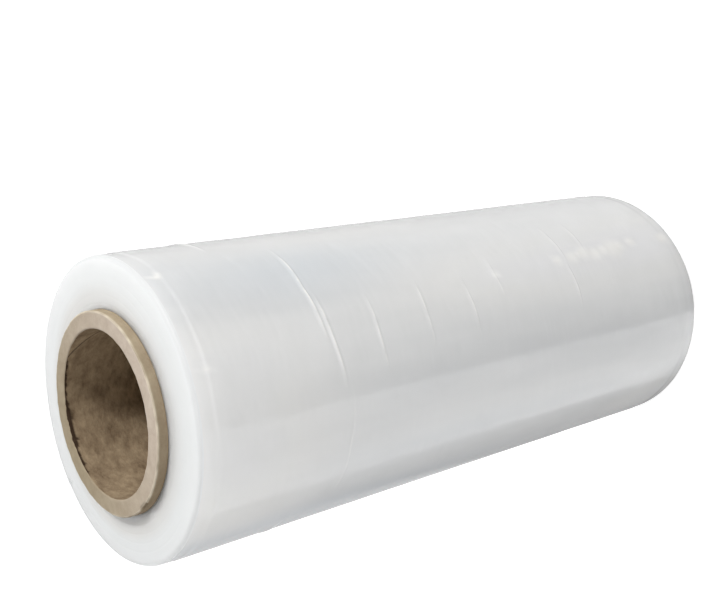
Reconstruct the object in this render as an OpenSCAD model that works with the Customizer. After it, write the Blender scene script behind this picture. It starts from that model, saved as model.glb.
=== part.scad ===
// Hand roll of stretch wrap: clear film wound on a paperboard tube.
// The roll stands on the tube's lower rim, with its axis along +Z.

/* [Core] */
// Bore of the paperboard tube, which fits a 3 inch dispenser mandrel
core_bore_d = 76.2; // [40:0.1:110]
// Thickness of the tube's wall
core_wall = 8; // [3:0.5:15]
// How far the tube stands out of the film at each end
core_reach = 5; // [3:0.5:30]
// Bevel worn on the edges of the tube's rims
rim_bevel = 0.4; // [0.1:0.1:1]
// Side of the roll on which a chip is out of the upper rim
chip_angle = 204; // [0:1:359]
// Length of that chip along the rim
chip_w = 12; // [4:1:16]
// How far the chip cuts into the rim's outer edge
chip_d = 1; // [0.6:0.1:1.5]

/* [Film] */
// Width of the film, which is the length of the wound part
film_width = 350; // [150:1:600]
// Thickness of the wound film, from the tube out
film_build = 24; // [10:1:60]
// Clearance between the tube and the first turn
film_fit = 0.05; // [0.02:0.01:0.3]
// Rounding of the film's outer edges
edge_r = 2; // [0.5:0.1:4]

/* [Turns] */
// How far the stretched outer turns end short of the film's edges
outer_inset = 9; // [4:0.5:20]
// How far those outer turns stand over the turns below
outer_step = 0.3; // [0.1:0.05:1]
// Height of the step where the last turn ends
tail_step = 0.4; // [0.2:0.1:1.5]
// Side of the roll on which the last turn ends
tail_angle = 115; // [0:5:355]
// Distance from turn to turn of the spiral that the film's edge leaves on the end faces
spiral_pitch = 4; // [2:0.1:8]
// Width of the spiral's groove
spiral_w = 0.6; // [0.4:0.1:1.5]
// Depth of the spiral's groove
spiral_d = 0.2; // [0.1:0.05:1]

/* [Creases] */
// Width of a crease where it stands highest
crease_w = 1.4; // [0.8:0.1:3]
// Height of the tallest crease over the film
crease_h = 0.6; // [0.2:0.05:0.8]

/* [Hidden] */
$fn = 96;

core_bore_r = core_bore_d / 2;
core_r = core_bore_r + core_wall;
core_length = film_width + 2 * core_reach;
chip_ball_r = chip_w * chip_w / (8 * chip_d);
film_bore_r = core_r + film_fit;
film_r = film_bore_r + film_build;
film_bottom = core_reach;
film_top = film_bottom + film_width;

// The last turn is two half turns, and their centres lie half a step apart.
turn_shift = tail_step / 2;

// Creases on the side that faces the viewer: how far down the film's width each lies,
// the side it is centred on, half of its arc, its slope and its share of the full height
front_creases = [
    [0.206, 300, 25, 0, 1.0],
    [0.215, 279, 19, 2, 1.0],
    [0.291, 278, 15, 0, 0.8],
    [0.382, 282, 14, -3, 0.7],
    [0.471, 281, 13, 0, 0.7],
    [0.540, 291, 10, 0, 0.6],
    [0.701, 281, 11, -1, 0.7],
    [0.704, 302, 11, 1, 0.6],
    [0.760, 304, 10, 0, 0.5],
];
// Creases round the rest of the film, spread evenly round it and unevenly along it
side_creases = [for (i = [0:8]) [
    0.12 + 0.76 * (i * 0.382 - floor(i * 0.382)),
    350 + 25 * i,
    12 + 8 * (1 + sin(i * 77)),
    4 * sin(i * 133),
    0.75 + 0.2 * sin(i * 211),
]];

// The tube, cut square at both ends, with its rim edges slightly broken and one chip
module core() {
    color("#b59f80")
        difference() {
            rotate_extrude()
                polygon([
                    [core_bore_r + rim_bevel, 0],
                    [core_r - rim_bevel, 0],
                    [core_r, rim_bevel],
                    [core_r, core_length - rim_bevel],
                    [core_r - rim_bevel, core_length],
                    [core_bore_r + rim_bevel, core_length],
                    [core_bore_r, core_length - rim_bevel],
                    [core_bore_r, rim_bevel],
                ]);
            rim_chip();
        }
}

// A ball that takes a shallow scoop out of the upper rim's outer edge
module rim_chip() {
    rotate(chip_angle)
        translate([core_r, 0, core_length])
            rotate([0, 45, 0])
                translate([0, 0, chip_ball_r - chip_d])
                    sphere(chip_ball_r);
}

// Section of the wound film out to radius r, with its two outer edges rounded and with
// the outer turns that end a little short of them
module film_section(r) {
    edge_x = r - outer_step - edge_r;
    translate([0, film_bottom + edge_r])
        square([edge_x + edge_r, film_width - 2 * edge_r]);
    translate([0, film_bottom])
        square([edge_x, film_width]);
    for (z = [film_bottom + edge_r, film_top - edge_r])
        translate([edge_x, z])
            circle(edge_r);
    translate([0, film_bottom + outer_inset])
        square([r, film_width - 2 * outer_inset]);
}

// One turn whose radius shrinks by the tail's step, so that its end stands over its start
module last_turn() {
    rotate(tail_angle + 180) {
        rotate_extrude(angle = 180)
            film_section(film_r);
        translate([turn_shift, 0, 0])
            rotate(180)
                rotate_extrude(angle = 180)
                    film_section(film_r - turn_shift);
    }
}

// The groove between the turns on an end face: half turns about two centres, each wider
// than the one before, which together make a spiral
module turn_spiral(z) {
    half_turns = 2 * floor((film_build - outer_step - tail_step - edge_r) / spiral_pitch) - 1;
    for (i = [0:half_turns - 1]) {
        outer_r = film_bore_r + (i / 2 + 1) * spiral_pitch;
        rotate(tail_angle + 180 * i)
            translate([i % 2 == 0 ? 0 : -spiral_pitch / 2, 0, z - spiral_d])
                rotate_extrude(angle = 180)
                    translate([outer_r - spiral_w, 0])
                        square([spiral_w, 2 * spiral_d]);
    }
}

// A crease is a tent-shaped ring that leans out of the film on one side, so that its two
// ends fade away
module crease(down, side, half_arc, slope, share) {
    rise = crease_h * share;
    lean = rise / (1 - cos(half_arc));
    foot = 2 * crease_h;
    half_w = crease_w / 2 * foot / crease_h;
    translate([0, 0, film_top - down * film_width])
        rotate(side)
            translate([lean, 0, 0])
                rotate([slope, 0, 0])
                    rotate([0, 0, -half_arc * 1.3])
                        rotate_extrude(angle = half_arc * 2.6)
                            translate([film_r + rise - lean, 0])
                                polygon([[0, 0], [-foot, half_w], [-foot, -half_w]]);
}

// All turns of the film as one solid
module film() {
    color("#e6e8e8")
        difference() {
            union() {
                last_turn();
                for (c = concat(front_creases, side_creases))
                    crease(c[0], c[1], c[2], c[3], c[4]);
            }
            translate([0, 0, film_bottom - 1])
                cylinder(h = film_width + 2, r = film_bore_r);
            turn_spiral(film_bottom);
            turn_spiral(film_top);
        }
}

core();
film();
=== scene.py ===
import math

import bmesh
import bpy
import numpy as np
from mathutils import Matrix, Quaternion, Vector


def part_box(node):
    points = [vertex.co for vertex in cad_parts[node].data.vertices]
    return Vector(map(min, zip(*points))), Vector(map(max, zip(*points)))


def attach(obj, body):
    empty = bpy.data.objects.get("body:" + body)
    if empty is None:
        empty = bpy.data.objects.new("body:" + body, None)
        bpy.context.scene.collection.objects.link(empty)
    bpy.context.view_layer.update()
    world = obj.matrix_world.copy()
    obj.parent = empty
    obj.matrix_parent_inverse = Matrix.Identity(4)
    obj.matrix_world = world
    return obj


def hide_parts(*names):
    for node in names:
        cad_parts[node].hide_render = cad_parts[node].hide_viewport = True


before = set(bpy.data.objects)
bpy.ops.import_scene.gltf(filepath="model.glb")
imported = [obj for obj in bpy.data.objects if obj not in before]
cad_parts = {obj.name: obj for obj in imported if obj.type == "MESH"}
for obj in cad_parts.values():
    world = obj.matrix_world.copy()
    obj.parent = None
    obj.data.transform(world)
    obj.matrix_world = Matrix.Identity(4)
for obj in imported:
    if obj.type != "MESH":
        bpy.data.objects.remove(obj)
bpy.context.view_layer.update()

# The camera
# It looks down on the standing roll from its upper rim, and is turned about its own axis
# until the roll lies across the picture, rim at the left, as in the photograph.
camera_place = Vector((0.0, -0.4420, 0.5716))
camera_target = Vector((0.0268, 0.0, 0.2034))
camera_turn = math.radians(-100.4)
camera_lens = 54.1

camera_data = bpy.data.cameras.new("camera")
camera_data.sensor_width = 36.0
camera_data.lens = camera_lens
camera = bpy.data.objects.new("camera", camera_data)
camera.rotation_mode = "QUATERNION"
camera.location = camera_place
look = (camera_target - camera_place).to_track_quat("-Z", "Y")
camera.rotation_quaternion = look @ Quaternion((0, 0, 1), camera_turn)
bpy.context.scene.collection.objects.link(camera)
bpy.context.scene.camera = camera

# The film
# Many turns of clear polyethylene film, wound tightly on the tube. They look milky white
# together, glossy outside and satin on the end faces, where the film's edges show.
film_low, film_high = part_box("film")
core_low, core_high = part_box("core")
core_r = (core_high.x - core_low.x) / 2
film_width = film_high.z - film_low.z
film_build = 0.024
film_fit = 0.00005
film_bore_r = core_r + film_fit
film_r = film_bore_r + film_build
edge_r = 0.002
outer_inset = 0.009
outer_step = 0.0003
tail_step = 0.0004
tail_side = math.radians(115)
spiral_pitch = 0.004
spiral_w = 0.0006
spiral_d = 0.00006
crease_h = 0.0006
crease_w = 0.0014
crease_line_w = 0.0008
lump_h = 0.0001
uneven_h = 0.00002

# Creases: place down the width, side in degrees, half arc, slope, share of the height.
front_creases = [
    (0.206, 300, 25, 0, 1.0),
    (0.215, 279, 19, 2, 1.0),
    (0.291, 278, 15, 0, 0.8),
    (0.382, 282, 14, -3, 0.7),
    (0.471, 281, 13, 0, 0.7),
    (0.540, 291, 10, 0, 0.6),
    (0.701, 281, 11, -1, 0.7),
    (0.704, 302, 11, 1, 0.6),
    (0.760, 304, 10, 0, 0.5),
]
side_creases = [
    (
        0.12 + 0.76 * (i * 0.382 % 1),
        (350 + 25 * i) % 360,
        12 + 8 * (1 + math.sin(math.radians(i * 77))),
        4 * math.sin(math.radians(i * 133)),
        0.75 + 0.2 * math.sin(math.radians(i * 211)),
    )
    for i in range(9)
]
# The long crease goes on faintly below the darker band.
faint_creases = [(0.228, 238, 22, -2, 0.3)]
creases = front_creases + faint_creases + side_creases

# Small lumps where the film caught on itself while it was wound, each painted white as a glint:
# a row of them, one by a crease, and three by the line where the outer turns end: place down the
# width, side in degrees, size.
lump_glint_places = [
    (0.686, 293.5, 0.0028),
    (0.723, 293.5, 0.0036),
    (0.740, 294.5, 0.0026),
    (0.754, 295.0, 0.0042),
    (0.780, 293.5, 0.0040),
    (0.806, 294.5, 0.0036),
    (0.831, 294.5, 0.0060),
    (0.846, 295.3, 0.0042),
    (0.883, 296.5, 0.0028),
    (0.972, 295.5, 0.0040),
    (0.541, 292.0, 0.0018),
    (0.026, 277.5, 0.0018),
    (0.023, 316.5, 0.0015),
    (0.026, 319.0, 0.0013),
]

# Soft patches in which the film is painted cooler and darker, or warmer and lighter: partly the
# film's own uneven tone, and partly painted shade and sheen. Place down the width, side in
# degrees, half length as a share of the width, half angle, amount.
shade_and_sheen_patches = [
    (0.22, 309, 0.18, 17, -0.8),
    (0.66, 292, 0.36, 14, 0.9),
    (0.05, 245, 0.13, 48, 0.8),
    (0.30, 333, 0.25, 10, 0.5),
    (0.20, 203, 0.35, 9, -1.4),
    (0.95, 212, 0.13, 9, 1.0),
    (0.79, 296, 0.11, 5, 0.7),
    (0.94, 297, 0.13, 16, 0.8),
    (0.50, 229, 0.36, 7, -0.4),
]


def waves(turn, seed, counts, size):
    """A wandering value round the roll: a few sine waves with whole counts to a turn."""
    rng = np.random.RandomState(seed)
    total = np.zeros_like(turn)
    for count in counts:
        total += rng.uniform(0.5, 1.0) * np.sin(count * turn + rng.uniform(0, 2 * np.pi))
    return size * total / len(counts)


def smooth(value, low, high):
    """0 below low, 1 above high, and a soft step between them."""
    t = np.clip((value - low) / (high - low), 0, 1)
    return t * t * (3 - 2 * t)


weld_reach = 2e-7


def closed_mesh(name, radius, side, height, parts, masks):
    """A mesh from a grid of radius, side and height: rows close round, columns are joined
    at the seam, parts gives each row's material index, and masks are kept for materials."""
    rows, columns = radius.shape
    points = np.stack([radius * np.cos(side), radius * np.sin(side), height], -1)
    index = np.arange(rows * columns).reshape(rows, columns)
    below = index
    above = np.roll(index, -1, axis=0)
    quads = np.stack(
        [below, np.roll(below, -1, axis=1), np.roll(above, -1, axis=1), above], -1
    )
    mesh = bpy.data.meshes.new(name)
    mesh.from_pydata(points.reshape(-1, 3).tolist(), [], quads.reshape(-1, 4).tolist())
    mesh.polygons.foreach_set("material_index", np.repeat(parts, columns))
    for mask_name, mask in masks.items():
        kept = mesh.attributes.new(mask_name, "FLOAT", "POINT")
        kept.data.foreach_set("value", mask.reshape(-1).astype(np.float32))
    mesh.update()
    weld_seam(mesh)
    piece = bpy.data.objects.new(name, mesh)
    bpy.context.scene.collection.objects.link(piece)
    return piece


def weld_seam(mesh):
    """Joins points that lie on each other, and turns all faces outward and smooth."""
    work = bmesh.new()
    work.from_mesh(mesh)
    bmesh.ops.remove_doubles(work, verts=work.verts, dist=weld_reach)
    bmesh.ops.recalc_face_normals(work, faces=work.faces)
    for face in work.faces:
        face.smooth = True
    work.to_mesh(mesh)
    work.free()


# Rows across the film's section: out along the lower face, round the edge, up the side,
# round the upper edge and in along the upper face. Creases, steps and lumps get close rows.
film_columns = 200
face_gap = 0.00032
side_gap = 0.004
lump_gap = 0.0031
least_gap = 0.00012
face_rows = np.arange(film_bore_r, film_r - outer_step - edge_r, face_gap)
corner = np.linspace(0, np.pi / 2, 7)
corner_out = film_r - outer_step - edge_r + edge_r * np.sin(corner)
corner_in = edge_r * (1 - np.cos(corner))
crease_rows = np.array([-2.4, -1.5, -0.9, -0.6, -0.3, 0, 0.3, 0.6, 0.9, 1.5, 2.4]) * 0.001
step_rows = np.array([-2.4, -1.8, -1.2, -0.6, 0, 0.6, 1.2, 1.8, 2.4]) * 0.001
side_rows = [np.arange(edge_r + 0.0015, film_width - edge_r - 0.001, side_gap)]
side_rows += [film_width * (1 - crease[0]) + crease_rows for crease in creases]
side_rows += [outer_inset + step_rows, film_width - outer_inset - step_rows]
side_rows += [film_width * (1 - np.arange(0.678, 0.890, lump_gap))]
side_rows = np.sort(np.concatenate(side_rows))
side_rows = side_rows[np.insert(np.diff(side_rows) > least_gap, 0, True)]
side_r = np.full(len(side_rows), film_r)

row_r = np.concatenate([face_rows, corner_out, side_r, corner_out[::-1], face_rows[::-1]])
row_z = np.concatenate([
    np.zeros(len(face_rows)),
    corner_in,
    side_rows,
    film_width - corner_in[::-1],
    np.full(len(face_rows), film_width),
])
ends = len(face_rows)
is_face = np.zeros(len(row_r), bool)
is_face[:ends] = True
is_face[-ends:] = True
is_end = is_face.copy()
is_end[:ends + len(corner) - 1] = True
is_end[-ends - len(corner):] = True
is_side = np.zeros(len(row_r), bool)
is_side[ends + len(corner):-ends - len(corner)] = True

turn = np.linspace(0, 2 * np.pi, film_columns + 1)
side = tail_side + turn
grid_side = np.broadcast_to(side, (len(row_r), film_columns + 1)).copy()
grid_turn = np.broadcast_to(turn, grid_side.shape)
grid_r = np.repeat(row_r[:, None], film_columns + 1, axis=1)
grid_z = np.repeat(row_z[:, None], film_columns + 1, axis=1)

# The outer turns end short of the film's edges, along a line that wanders a little and is
# softer at the lower end.
wander = waves(side, 3, (2, 3, 5, 9, 14), 0.0016)
from_end = np.minimum(grid_z, film_width - grid_z)
inset = outer_inset + np.where(grid_z > film_width / 2, wander, wander[::-1])
soft_step = np.where(grid_z > film_width / 2, 0.0011, 0.0024)
on_side = is_side[:, None]
grid_r -= np.where(on_side, outer_step * (1 - smooth(from_end - inset, -soft_step, soft_step)), 0)

# The radius grows by the tail's step in one turn, most at the outside.
grid_r -= tail_step * (1 - grid_turn / (2 * np.pi)) * smooth(grid_r, film_r - 0.006, film_r - 0.002)

# Winding tension leaves the side slightly uneven.
uneven = np.zeros_like(grid_r)
rng = np.random.RandomState(11)
for _ in range(26):
    around = rng.randint(1, 12)
    along = rng.uniform(2, 26)
    phase = rng.uniform(0, 2 * np.pi)
    uneven += np.sin(around * grid_side + along * grid_z / film_width * np.pi + phase) / around ** 0.5
grid_r += uneven_h * uneven * smooth(from_end, 0.0, 0.02) * on_side

# The creases are narrow tents, highest at the middle of their arc, and white on top.
white_lines_and_glints = np.zeros_like(grid_r)
for down, middle, half_arc, slope, share in creases:
    off = (np.degrees(grid_side) - middle + 180) % 360 - 180
    within = np.cos(np.radians(off)) - math.cos(math.radians(half_arc))
    rise = crease_h * share * np.clip(within / (1 - math.cos(math.radians(half_arc))), 0, 1)
    drift = film_r * np.sin(np.radians(off)) * math.tan(math.radians(slope))
    drift = drift + waves(grid_side, int(middle), (7, 11, 17), 0.0006)
    middle_z = film_width * (1 - down)
    near = np.exp(-((grid_z - middle_z) / 0.009) ** 2) * (np.abs(off) < 1.6 * half_arc)
    near = near * (1 - smooth(np.abs(off), half_arc, 1.6 * half_arc))
    tent = np.clip(1 - np.abs(grid_z - middle_z) / crease_w, 0, 1)
    grid_r += np.where(on_side, rise * tent, 0)
    line = rise / crease_h * np.clip(1 - np.abs(grid_z - middle_z) / crease_line_w, 0, 1)
    line *= np.clip(0.8 + waves(grid_side, int(middle) + 50, (13, 23, 37, 61), 1.4), 0.2, 1)
    white_lines_and_glints = np.maximum(white_lines_and_glints, np.where(on_side, line, 0))
    grid_z += np.where(on_side, drift * near, 0)
# The lumps stand a little proud, and are painted white on top as glints.
for down, middle, size in lump_glint_places:
    off = (np.degrees(grid_side) - middle + 180) % 360 - 180
    away = np.hypot(film_r * np.radians(off), 0.7 * (grid_z - film_width * (1 - down))) / size
    lump = np.where(on_side, smooth(1.6 - away, 0, 1.6), 0)
    grid_r += lump_h * lump
    white_lines_and_glints = np.maximum(white_lines_and_glints, lump)

# Painted shade and sheen, with some of the film's own tone, summed from the patches.
tone_shade_and_sheen = np.zeros_like(grid_r)
for down, middle, half_length, half_angle, amount in shade_and_sheen_patches:
    off = (np.degrees(grid_side) - middle + 180) % 360 - 180
    off_down = 1 - grid_z / film_width - down
    tone_shade_and_sheen += amount * np.exp(-(off / half_angle) ** 2 - (off_down / half_length) ** 2)

# The film's edge winds outward over both faces in a shallow spiral.
spiral_at = (grid_r - film_bore_r) / spiral_pitch - grid_turn / (2 * np.pi)
from_groove = np.abs((spiral_at + 0.5) % 1 - 0.5) * spiral_pitch
groove = spiral_d * (1 - smooth(from_groove, 0.0, spiral_w))
groove = groove * smooth(grid_r, film_bore_r, film_bore_r + 0.002)
groove = groove * (1 - smooth(grid_r, film_r - 0.007, film_r - 0.004))
facing = np.where(grid_z > film_width / 2, -1, 1)
grid_z += np.where(is_face[:, None], facing * groove, 0)

# Near the tube the end face is painted a warm brown shade, most on the side away from the key
# light: partly the tube's brown showing through the thin layers, partly painted shade beside the
# tube. The rounded edges and the side of the face away from the key light are painted darker, as shade.
rounded = np.zeros(len(row_r))
rounded[ends:ends + len(corner)] = np.sin(2 * corner)
rounded[-ends - len(corner):-ends] = np.sin(2 * corner)
painted_face_shade = 0.25 - 0.25 * np.cos(grid_side - math.radians(10))
painted_face_shade = np.maximum(rounded[:, None], np.where(is_end[:, None], painted_face_shade, 0))
from_tube = grid_r - film_bore_r
tube_brown_and_shade = smooth(from_tube, 0.0005, 0.0048) * (1 - smooth(from_tube, 0.006, 0.014))
tube_brown_and_shade = tube_brown_and_shade * (0.9 - 0.7 * np.cos(grid_side - math.radians(290)))
tube_brown_and_shade = np.where(is_face[:, None], tube_brown_and_shade, 0)
film_masks = {
    "crease": white_lines_and_glints,
    "tone_shade_and_sheen": tone_shade_and_sheen,
    "painted_face_shade": painted_face_shade,
    "tube_brown_and_shade": tube_brown_and_shade,
}
film = closed_mesh(
    "film_roll", grid_r, grid_side, grid_z + film_low.z, np.where(is_end, 1, 0), film_masks
)


def node_material(name):
    """A new material with only an output and a Principled shader in it."""
    material = bpy.data.materials.new(name)
    material.use_nodes = True
    nodes = material.node_tree.nodes
    nodes.clear()
    output = nodes.new("ShaderNodeOutputMaterial")
    shader = nodes.new("ShaderNodeBsdfPrincipled")
    material.node_tree.links.new(shader.outputs["BSDF"], output.inputs["Surface"])
    return material, shader


def stretched_noise(tree, scale, detail, roughness=0.55):
    """Noise in the object's own space, with its own scale along each axis."""
    place = tree.nodes.new("ShaderNodeTexCoord")
    mapping = tree.nodes.new("ShaderNodeMapping")
    noise = tree.nodes.new("ShaderNodeTexNoise")
    noise.inputs["Scale"].default_value = 1.0
    noise.inputs["Detail"].default_value = detail
    noise.inputs["Roughness"].default_value = roughness
    if isinstance(scale, tuple):
        mapping.inputs["Scale"].default_value = scale
    else:
        tree.links.new(scale, mapping.inputs["Scale"])
    tree.links.new(place.outputs["Object"], mapping.inputs["Vector"])
    tree.links.new(mapping.outputs["Vector"], noise.inputs["Vector"])
    return noise.outputs["Fac"]


def spread(tree, value, low, high, to_low, to_high):
    """A value brought from one range to another."""
    node = tree.nodes.new("ShaderNodeMapRange")
    node.inputs["From Min"].default_value = low
    node.inputs["From Max"].default_value = high
    node.inputs["To Min"].default_value = to_low
    node.inputs["To Max"].default_value = to_high
    tree.links.new(value, node.inputs["Value"])
    return node.outputs["Result"]


def blended(tree, factor, first, second, kind="MIX"):
    """A mix of two colours by a factor; each is a socket or a plain colour."""
    node = tree.nodes.new("ShaderNodeMix")
    node.data_type = "RGBA"
    node.blend_type = kind
    for name, value in (("A", first), ("B", second)):
        if isinstance(value, tuple):
            node.inputs[name].default_value = (*value, 1)
        else:
            tree.links.new(value, node.inputs[name])
    if isinstance(factor, float):
        node.inputs["Factor"].default_value = factor
    else:
        tree.links.new(factor, node.inputs["Factor"])
    return node.outputs["Result"]


def bumped(tree, height, distance, normal=None):
    """A normal from a height, laid over another normal if one is given."""
    node = tree.nodes.new("ShaderNodeBump")
    node.inputs["Distance"].default_value = distance
    tree.links.new(height, node.inputs["Height"])
    if normal:
        tree.links.new(normal, node.inputs["Normal"])
    return node.outputs["Normal"]


def read_mask(tree, name):
    """A mask that the mesh carries."""
    node = tree.nodes.new("ShaderNodeAttribute")
    node.attribute_name = name
    return node.outputs["Fac"]


def new_group(name, inputs, outputs):
    """A node group with the named sockets: its tree, its start and its end."""
    tree = bpy.data.node_groups.new(name, "ShaderNodeTree")
    for socket_name, kind in inputs.items():
        tree.interface.new_socket(socket_name, in_out="INPUT", socket_type=kind)
    for socket_name, kind in outputs.items():
        tree.interface.new_socket(socket_name, in_out="OUTPUT", socket_type=kind)
    return tree, tree.nodes.new("NodeGroupInput"), tree.nodes.new("NodeGroupOutput")


def placed(tree, group, values):
    """A node group with this material's own values."""
    node = tree.nodes.new("ShaderNodeGroup")
    node.node_tree = group
    for name, value in values.items():
        node.inputs[name].default_value = value
    return node


def cloud_group():
    """Soft clouds between two colours, as in wound film."""
    tree, start, end = new_group(
        "film_clouds",
        {"Scale": "NodeSocketVector", "Dark": "NodeSocketColor", "Light": "NodeSocketColor"},
        {"Color": "NodeSocketColor", "Cloud": "NodeSocketFloat"},
    )
    cloud = stretched_noise(tree, start.outputs["Scale"], 3)
    streak = spread(tree, cloud, 0.33, 0.67, 0, 1)
    colour = blended(tree, streak, start.outputs["Dark"], start.outputs["Light"])
    tree.links.new(colour, end.inputs["Color"])
    tree.links.new(cloud, end.inputs["Cloud"])
    return tree


film_clouds = cloud_group()


def milky(shader, depth):
    """Light spreads inside the wound film, so its shading is soft."""
    shader.inputs["Subsurface Weight"].default_value = 1.0
    shader.inputs["Subsurface Radius"].default_value = (1.0, 1.0, 1.0)
    shader.inputs["Subsurface Scale"].default_value = depth


def wrap_finish():
    """The glossy outside of the roll."""
    material, shader = node_material("film_outside")
    tree = material.node_tree
    clouds = placed(tree, film_clouds, {
        "Scale": (26, 26, 5),
        "Dark": (0.79, 0.80, 0.80, 1),
        "Light": (0.895, 0.90, 0.89, 1),
    })
    tone_shade_and_sheen = read_mask(tree, "tone_shade_and_sheen")
    crease = read_mask(tree, "crease")
    colour = clouds.outputs["Color"]
    # The patches paint the film warmer and lighter as sheen, or cooler and darker as shade; part of it
    # is the film's own tone.
    colour = blended(tree, spread(tree, tone_shade_and_sheen, 0, 1, 0, 1), colour, (0.98, 0.963, 0.92))
    colour = blended(tree, spread(tree, tone_shade_and_sheen, 0, -1, 0, 1), colour, (0.73, 0.765, 0.79))
    # White crease lines where the film is stretched, and painted glints on the lumps.
    colour = blended(tree, crease, colour, (1.0, 0.99, 0.95))
    tree.links.new(colour, shader.inputs["Base Color"])
    ripple = stretched_noise(tree, (30, 30, 90), 2)
    tension = stretched_noise(tree, (5, 5, 420), 3)
    normal = bumped(tree, ripple, 0.0006)
    normal = bumped(tree, tension, 0.000008, normal)
    tree.links.new(normal, shader.inputs["Normal"])
    tree.links.new(spread(tree, crease, 0, 1, 0.3, 0.6), shader.inputs["Roughness"])
    tree.links.new(spread(tree, crease, 0, 1, 1.0, 0.0), shader.inputs["Coat Weight"])
    shader.inputs["IOR"].default_value = 1.5
    shader.inputs["Coat IOR"].default_value = 2.1
    shader.inputs["Coat Roughness"].default_value = 0.12
    milky(shader, 0.012)
    tree.links.new(spread(tree, crease, 0, 1, 1.0, 0.0), shader.inputs["Subsurface Weight"])
    return material


def face_finish():
    """The end faces, where the edges of all turns lie side by side."""
    material, shader = node_material("film_end")
    tree = material.node_tree
    clouds = placed(tree, film_clouds, {
        "Scale": (40, 40, 10),
        "Dark": (0.83, 0.846, 0.84, 1),
        "Light": (0.86, 0.875, 0.868, 1),
    })
    # Painted shade on the rounded edges and on the side of the face away from the key light.
    colour = blended(tree, read_mask(tree, "painted_face_shade"), clouds.outputs["Color"], (0.74, 0.755, 0.75))
    # Near the tube, a warm brown: partly the tube showing through, partly painted shade.
    brown_and_shade_share = spread(tree, read_mask(tree, "tube_brown_and_shade"), 0, 1, 0, 0.22)
    colour = blended(tree, brown_and_shade_share, colour, (0.60, 0.52, 0.43))
    tree.links.new(colour, shader.inputs["Base Color"])
    tree.links.new(bumped(tree, clouds.outputs["Cloud"], 0.0003), shader.inputs["Normal"])
    shader.inputs["Roughness"].default_value = 0.5
    milky(shader, 0.014)
    return material


film.data.materials.append(wrap_finish())
film.data.materials.append(face_finish())
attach(film, "root")
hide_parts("film")

# The tube
# Grey-brown paperboard strips, wound in a spiral and glued, then cut square. The cut rims
# are slightly frayed, and the seam of the inner strip runs down the bore as a helix.
core_bore_r = 0.0381
core_length = core_high.z - core_low.z
rim_bevel = 0.0004
core_columns = 360
seam_lead = 0.138
seam_side = math.radians(41.3)
rim_rows = np.linspace(core_bore_r + rim_bevel, core_r - rim_bevel, 14)
wall_rows = np.concatenate([
    np.array([0.0, 0.4, 0.9, 1.5, 2.4, 3.6, 5.2, 8.0]) * 0.001,
    np.linspace(0.014, core_length / 2 - rim_bevel, 22),
])
wall_rows = np.concatenate([wall_rows, core_length - 2 * rim_bevel - wall_rows[-2::-1]])
wall_rows = wall_rows + rim_bevel
core_row_r = np.concatenate([
    rim_rows,
    np.full(len(wall_rows), core_r),
    rim_rows[::-1],
    np.full(len(wall_rows), core_bore_r),
])
core_row_z = np.concatenate([
    np.zeros(len(rim_rows)),
    wall_rows,
    np.full(len(rim_rows), core_length),
    wall_rows[::-1],
])
core_side = np.linspace(0, 2 * np.pi, core_columns, endpoint=False)
tube_side = np.broadcast_to(core_side, (len(core_row_r), core_columns)).copy()
tube_turn = np.degrees(tube_side)
tube_r = np.repeat(core_row_r[:, None], core_columns, axis=1)
tube_z = np.repeat(core_row_z[:, None], core_columns, axis=1)

# The upper rim isn't quite even. Its inner edge is torn over part of the bore, and a chip
# is out of its outer edge.
at_top = np.exp(-((core_length - tube_z) / 0.0012) ** 2)
rng = np.random.RandomState(4)
rough_edge = rng.uniform(-1, 1, core_columns)
rough_edge = np.convolve(np.concatenate([rough_edge, rough_edge[:2]]), [0.3, 0.4, 0.3], "valid")
inner = np.clip(1 - (tube_r - core_bore_r) / 0.0012, 0, 1)
torn = smooth(tube_turn, 36, 46) * (1 - smooth(tube_turn, 126, 140))
torn_most = smooth(tube_turn, 70, 82) * (1 - smooth(tube_turn, 102, 114))
tube_r += inner * at_top * (0.00012 * rough_edge + torn_most * 0.0009 * np.clip(rough_edge + 0.4, 0, 1))
tube_z -= np.abs(waves(tube_side, 8, (5, 11, 19, 31), 0.0003)) * at_top
outer = np.clip(1 - (core_r - tube_r) / 0.0014, 0, 1)
chip = smooth(tube_turn, 197, 201) * (1 - smooth(tube_turn, 206, 210))
tube_z -= 0.0012 * chip * outer * at_top
tube_r -= 0.0009 * chip * outer * at_top
burr = 0.7 + 0.5 * waves(core_side, 21, (3, 7, 13, 29, 43), 2.0)
edge_near = np.exp(-((core_length - tube_z) / 0.0007) ** 2)
rim_light = np.clip(outer * 1.8 - 0.6, 0, 1) * edge_near * np.clip(burr + chip, 0, 1)
# The bore just under the torn edge is painted nearly black, as the shadow in the gap between plies.
torn_depth = torn * (0.0016 + 0.0012 * torn_most + 0.0009 * rough_edge)
in_bore = np.arange(len(core_row_r))[:, None] >= len(core_row_r) - len(wall_rows)
torn_gap_shadow = np.clip((torn_depth - (core_length - tube_z)) / 0.0006, 0, 1) * in_bore

core_parts = np.zeros(len(core_row_r), int)
core_parts[:len(rim_rows)] = 1
core_parts[len(rim_rows):len(rim_rows) + len(wall_rows)] = 2
core_parts[len(rim_rows) + len(wall_rows):2 * len(rim_rows) + len(wall_rows)] = 1
core_masks = {
    "burr": rim_light,
    "torn": torn_gap_shadow,
    # Painted shade: the rim is darker away from 290 degrees, and the wall darker away from 340 degrees,
    # where less light falls.
    "rim_painted_shade": 0.5 + 0.5 * np.cos(tube_side - math.radians(290)),
    "wall_painted_shade": 0.5 + 0.5 * np.cos(tube_side - math.radians(340)),
}
core = closed_mesh("paper_tube", tube_r, tube_side, tube_z + core_low.z, core_parts, core_masks)


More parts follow.
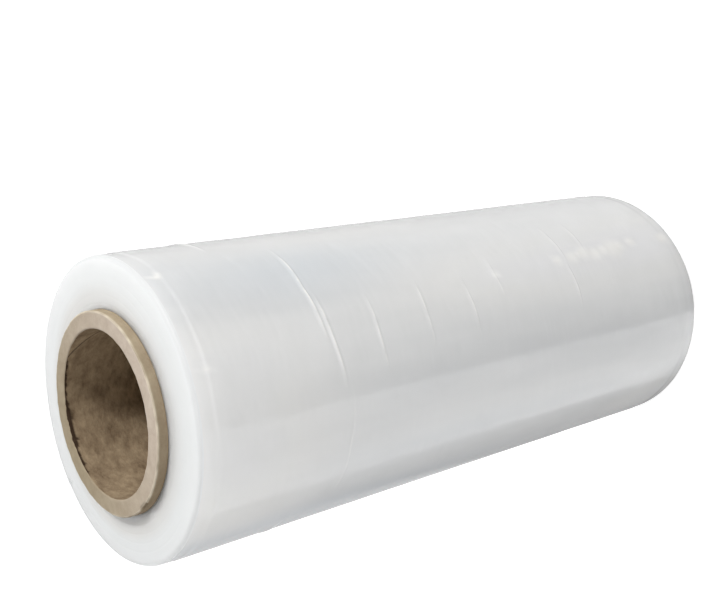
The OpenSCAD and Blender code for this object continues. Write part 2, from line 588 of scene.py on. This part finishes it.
def board_group():
    """Paperboard: short mottled fibres in two tones."""
    tree, start, end = new_group(
        "board_fibres",
        {"Scale": "NodeSocketVector", "Dark": "NodeSocketColor", "Light": "NodeSocketColor"},
        {"Color": "NodeSocketColor", "Normal": "NodeSocketVector"},
    )
    mottle = stretched_noise(tree, start.outputs["Scale"], 6, 0.68)
    fibre = stretched_noise(tree, (900, 900, 500), 3, 0.6)
    share = spread(tree, mottle, 0.3, 0.7, 0, 1)
    colour = blended(tree, share, start.outputs["Dark"], start.outputs["Light"])
    normal = bumped(tree, mottle, 0.0004)
    normal = bumped(tree, fibre, 0.0001, normal)
    tree.links.new(colour, end.inputs["Color"])
    tree.links.new(normal, end.inputs["Normal"])
    return tree


board_fibres = board_group()


def board_finish(name, scale, dark, light):
    """A matt board material, its tree, its shader and the colour so far."""
    material, shader = node_material(name)
    tree = material.node_tree
    fibres = placed(tree, board_fibres, {"Scale": scale, "Dark": (*dark, 1), "Light": (*light, 1)})
    tree.links.new(fibres.outputs["Normal"], shader.inputs["Normal"])
    shader.inputs["Roughness"].default_value = 0.85
    shader.inputs["Specular IOR Level"].default_value = 0.25
    return material, tree, shader, fibres.outputs["Color"]


def maths(tree, operation, *values):
    """A Math node on sockets and numbers."""
    node = tree.nodes.new("ShaderNodeMath")
    node.operation = operation
    for socket, value in zip(node.inputs, values):
        if isinstance(value, float):
            socket.default_value = value
        else:
            tree.links.new(value, socket)
    return node.outputs[0]


def bore_finish():
    """The inner wall: darker, blotchy, with the seam of its strip as a helix."""
    material, tree, shader, colour = board_finish(
        "tube_bore", (120, 120, 190), (0.175, 0.118, 0.068), (0.48, 0.365, 0.235)
    )
    place = tree.nodes.new("ShaderNodeTexCoord")
    axes = tree.nodes.new("ShaderNodeSeparateXYZ")
    tree.links.new(place.outputs["Object"], axes.inputs[0])
    around = maths(tree, "ARCTAN2", axes.outputs["Y"], axes.outputs["X"])
    turn_rate = 2 * math.pi / seam_lead
    at_rim = turn_rate * core_high.z - seam_side + 20 * math.pi
    phase = maths(tree, "MULTIPLY_ADD", axes.outputs["Z"], -turn_rate, at_rim)
    phase = maths(tree, "ADD", phase, around)
    phase = maths(tree, "MODULO", phase, 2 * math.pi)
    away = maths(tree, "ABSOLUTE", maths(tree, "SUBTRACT", phase, math.pi))
    seam = spread(tree, away, math.pi - 0.004, math.pi - 0.03, 0.8, 0)
    colour = blended(tree, seam, colour, (0.05, 0.035, 0.02))
    # Painted shadow in the gap under the torn edge.
    colour = blended(tree, read_mask(tree, "torn"), colour, (0.045, 0.026, 0.014))
    tree.links.new(colour, shader.inputs["Base Color"])
    return material


burr_colour = (0.86, 0.77, 0.62)


def rim_finish():
    """The cut rims: lighter, with a pale burr along the outer edge."""
    material, tree, shader, colour = board_finish(
        "tube_rim", (170, 170, 170), (0.55, 0.455, 0.365), (0.67, 0.575, 0.475)
    )
    # Painted shade, darker away from the lit side.
    painted_shade_tint = blended(tree, read_mask(tree, "rim_painted_shade"), (0.60, 0.58, 0.475), (1, 1, 1))
    colour = blended(tree, 1.0, colour, painted_shade_tint, "MULTIPLY")
    colour = blended(tree, read_mask(tree, "burr"), colour, burr_colour)
    tree.links.new(colour, shader.inputs["Base Color"])
    return material


def wall_finish():
    """The outer wall of the two stubs."""
    material, tree, shader, colour = board_finish(
        "tube_wall", (140, 140, 200), (0.34, 0.265, 0.175), (0.46, 0.375, 0.26)
    )
    # Painted shade, darker away from the key light.
    painted_shade_tint = blended(tree, read_mask(tree, "wall_painted_shade"), (0.55, 0.515, 0.48), (1, 1, 1))
    colour = blended(tree, 1.0, colour, painted_shade_tint, "MULTIPLY")
    colour = blended(tree, read_mask(tree, "burr"), colour, burr_colour)
    tree.links.new(colour, shader.inputs["Base Color"])
    return material


core.data.materials.append(bore_finish())
core.data.materials.append(rim_finish())
core.data.materials.append(wall_finish())
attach(core, "root")
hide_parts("core")

# The floor and the light
# A plain white floor under the standing roll. The key lamp is high on the +X side, and two
# weaker ones stand behind, one high and one low. A small fill lights the upper rim from the
# front, and doesn't show in reflections.
grey_reach = 0.6
white_reach = 3.0


def seen_in_reflections(tree, path):
    """1 for rays that a glossy surface mirrors or lets through, and 0 for the others."""
    return maths(tree, "MAXIMUM", path.outputs["Is Glossy Ray"], path.outputs["Is Transmission Ray"])


def floor_finish(name, shade):
    """White, with the roll's shadow, and lifted to plain white where the camera sees it.
    In reflections it is grey near the roll and grows whiter with distance."""
    material = bpy.data.materials.new(name)
    material.use_nodes = True
    tree = material.node_tree
    tree.nodes.clear()
    output = tree.nodes.new("ShaderNodeOutputMaterial")
    cloth = tree.nodes.new("ShaderNodeBsdfDiffuse")
    cloth.inputs["Color"].default_value = (shade, shade, shade, 1)
    glow = tree.nodes.new("ShaderNodeEmission")
    glow.inputs["Color"].default_value = (1, 1, 1, 1)
    both = tree.nodes.new("ShaderNodeAddShader")
    place = tree.nodes.new("ShaderNodeTexCoord")
    far = tree.nodes.new("ShaderNodeVectorMath")
    far.operation = "LENGTH"
    tree.links.new(place.outputs["Object"], far.inputs[0])
    whiter = spread(tree, far.outputs["Value"], grey_reach, white_reach, 0.2, 0.84)
    path = tree.nodes.new("ShaderNodeLightPath")
    lift = maths(tree, "MULTIPLY", path.outputs["Is Camera Ray"], 0.87)
    lift = maths(tree, "MULTIPLY_ADD", seen_in_reflections(tree, path), whiter, lift)
    tree.links.new(lift, glow.inputs["Strength"])
    tree.links.new(cloth.outputs[0], both.inputs[0])
    tree.links.new(glow.outputs[0], both.inputs[1])
    tree.links.new(both.outputs[0], output.inputs["Surface"])
    return material


def flat_piece(name, outline, height, finish):
    """The floor itself, or a flat sheet that lies on it."""
    mesh = bpy.data.meshes.new(name)
    mesh.from_pydata([(x, y, height) for x, y in outline], [], [tuple(range(len(outline)))])
    sheet = bpy.data.objects.new(name, mesh)
    sheet.data.materials.append(finish)
    bpy.context.scene.collection.objects.link(sheet)


floor_half = 12.0
floor_corners = [(-floor_half, -floor_half), (floor_half, -floor_half)]
floor_corners += [(floor_half, floor_half), (-floor_half, floor_half)]
flat_piece("floor", floor_corners, -0.0003, floor_finish("floor_white", 0.5))

# A white card lies beside the roll. Its straight edge runs out from under the roll, so it
# shows along the glossy film as the lower limit of the darker band.
card_start = Vector((-0.0068, -0.0508))
card_edge = Vector((math.cos(math.radians(239.4)), math.sin(math.radians(239.4))))
card_back = Vector((math.cos(math.radians(172)), math.sin(math.radians(172))))
card_corners = [card_start, card_start + card_back, card_start + card_back + card_edge]
card_corners += [card_start + card_edge]
flat_piece("card", [tuple(c) for c in card_corners], -0.0001, floor_finish("card_white", 0.95))


def softbox(name, place, target, size, power):
    """A square lamp that points at a place on the roll."""
    lamp = bpy.data.lights.new(name, "AREA")
    lamp.shape = "RECTANGLE"
    lamp.size, lamp.size_y = size
    lamp.energy = power
    box = bpy.data.objects.new(name, lamp)
    box.location = place
    box.rotation_mode = "QUATERNION"
    box.rotation_quaternion = (Vector(target) - Vector(place)).to_track_quat("-Z", "Y")
    bpy.context.scene.collection.objects.link(box)
    return box


softbox("key_box", (2.38, -1.06, 2.59), (0, 0, 0.25), (0.7, 0.7), 93)
softbox("back_box", (0.38, 2.73, 2.40), (0, 0, 0.25), (0.45, 0.45), 12)
softbox("low_box", (-1.5, 2.6, 0.3), (0, 0, 0.18), (0.6, 0.6), 9)
fill_box = softbox("fill_box", (-0.275, -0.235, 0.44), (0, 0, 0.31), (0.2, 0.2), 0.38)
fill_box.visible_glossy = False

world = bpy.data.worlds.new("studio")
world.use_nodes = True
bpy.context.scene.world = world
world_tree = world.node_tree
world_tree.nodes.clear()
world_output = world_tree.nodes.new("ShaderNodeOutputWorld")
room = world_tree.nodes.new("ShaderNodeBackground")
room.inputs["Color"].default_value = (0.28, 0.28, 0.285, 1)
white = world_tree.nodes.new("ShaderNodeBackground")
white.inputs["Color"].default_value = (1, 1, 1, 1)
ray = world_tree.nodes.new("ShaderNodeLightPath")
seen = seen_in_reflections(world_tree, ray)
seen = maths(world_tree, "MAXIMUM", ray.outputs["Is Camera Ray"], seen)
choose = world_tree.nodes.new("ShaderNodeMixShader")
world_tree.links.new(seen, choose.inputs["Fac"])
world_tree.links.new(room.outputs[0], choose.inputs[1])
world_tree.links.new(white.outputs[0], choose.inputs[2])
world_tree.links.new(choose.outputs[0], world_output.inputs["Surface"])

bpy.context.scene.view_settings.view_transform = "Standard"
